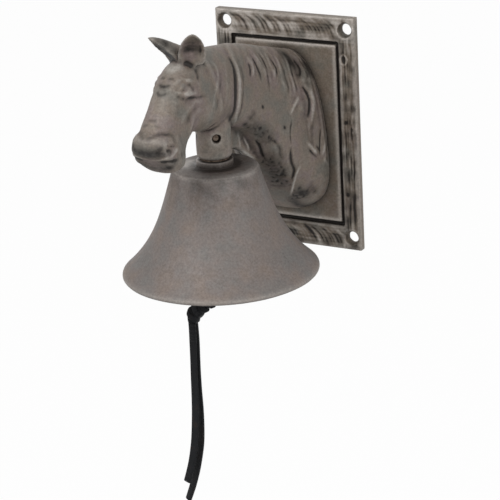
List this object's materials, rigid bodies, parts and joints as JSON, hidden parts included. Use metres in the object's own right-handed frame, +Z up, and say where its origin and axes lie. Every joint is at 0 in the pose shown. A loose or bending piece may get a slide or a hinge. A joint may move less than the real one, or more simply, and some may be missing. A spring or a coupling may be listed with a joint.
{
  "type": "wall mounted bell",
  "caption": "Cast-iron wall bell: framed plate, a horse's head that reaches out from it, a flared bell under the throat and a clapper with a leather pull",
  "frame": {"origin": "the middle of the plate's flat back face, which lies against the wall", "axes": "+X to the right along the wall as the wall sees the viewer's right when facing the wall, +Y into the wall, +Z up; the head reaches out towards -Y"},
  "size_m": [0.1346, 0.195, 0.3621],
  "materials": {
    "cast_iron_plate": "antiqued grey-brown cast iron, brushed highlights",
    "cast_iron_head": "antiqued grey-brown cast iron, brushed highlights",
    "cast_iron_bell": "fine-grained grey cast iron",
    "cast_iron_ball": "dark cast iron",
    "steel_hardware": "dulled steel",
    "leather": "black leather lace"
  },
  "bodies": {
    "mount": {"back_plate": "cast_iron_plate", "horse_head": "cast_iron_head", "head_screws": "steel_hardware", "screw_washers": "steel_hardware", "hanger_bolt": "steel_hardware", "hanger_pin": "steel_hardware", "crown_washer": "steel_hardware"},
    "bell": {"bell": "cast_iron_bell"},
    "link": {"clapper_link": "steel_hardware"},
    "clapper": {"clapper_rod": "steel_hardware", "clapper_ball": "cast_iron_ball", "pull_knot": "leather", "pull_front_tail": "leather", "pull_rear_tail": "leather"}
  },
  "joints": [
    {"name": "bell_turn", "type": "hinge", "parent": "mount", "child": "bell", "pos_m": [0, -0.11, 0.0055], "axis": [0, 0, 1], "continuous": true},
    {"name": "clapper_swing", "type": "hinge", "parent": "mount", "child": "link", "pos_m": [0, -0.11, -0.01116], "axis": [1, 0, 0], "range_deg": [-35, 35]},
    {"name": "clapper_sway", "type": "hinge", "parent": "link", "child": "clapper", "pos_m": [0, -0.11, -0.01946], "axis": [0, 1, 0], "range_deg": [-14, 14]}
  ]
}
